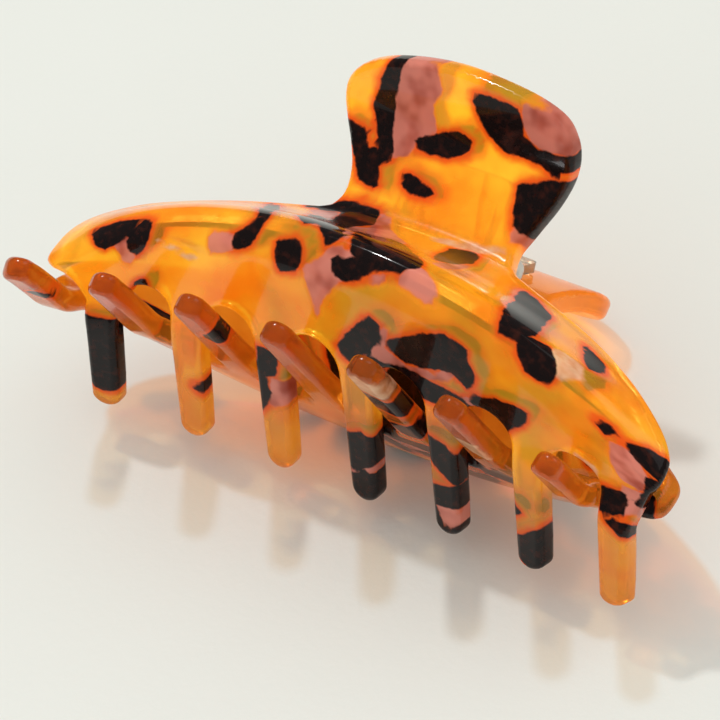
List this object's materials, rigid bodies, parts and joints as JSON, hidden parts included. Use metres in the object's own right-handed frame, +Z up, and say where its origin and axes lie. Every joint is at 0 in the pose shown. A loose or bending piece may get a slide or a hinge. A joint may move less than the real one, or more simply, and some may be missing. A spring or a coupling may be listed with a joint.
{
  "type": "claw hair clip",
  "caption": "Domed claw clip lying on its side: two interlocking toothed tortoiseshell jaws with fan-shaped thumb tabs on a sprung pin hinge.",
  "frame": {"origin": "floor point under the middle of the clip's bounding box, with the clip lying on its lower claw", "axes": "+X along the hinge pin and the long axis of the jaws, -Y the side the teeth are on, +Y the side the thumb tabs are on, +Z up"},
  "size_m": [0.093, 0.0484, 0.0429],
  "materials": {
    "tortoiseshell_acetate": "polished translucent tortoiseshell",
    "clear_amber_plastic": "clear amber",
    "pin_steel": "bright",
    "spring_steel": "gold tinted wire"
  },
  "bodies": {
    "lower_side": {"claw_lower": "tortoiseshell_acetate", "bracket_lower": "clear_amber_plastic", "hinge_pin": "pin_steel", "torsion_spring": "spring_steel"},
    "upper_side": {"claw_upper": "tortoiseshell_acetate", "bracket_upper": "clear_amber_plastic"}
  },
  "joints": [
    {"name": "jaw_hinge", "type": "hinge", "parent": "lower_side", "child": "upper_side", "pos_m": [0, 0.00914, 0.02043], "axis": [-1, 0, 0], "range_deg": [0, 75], "stiffness_Nm_per_rad": 0.05, "springref_deg": -57.3, "deforming": ["torsion_spring"]}
  ]
}
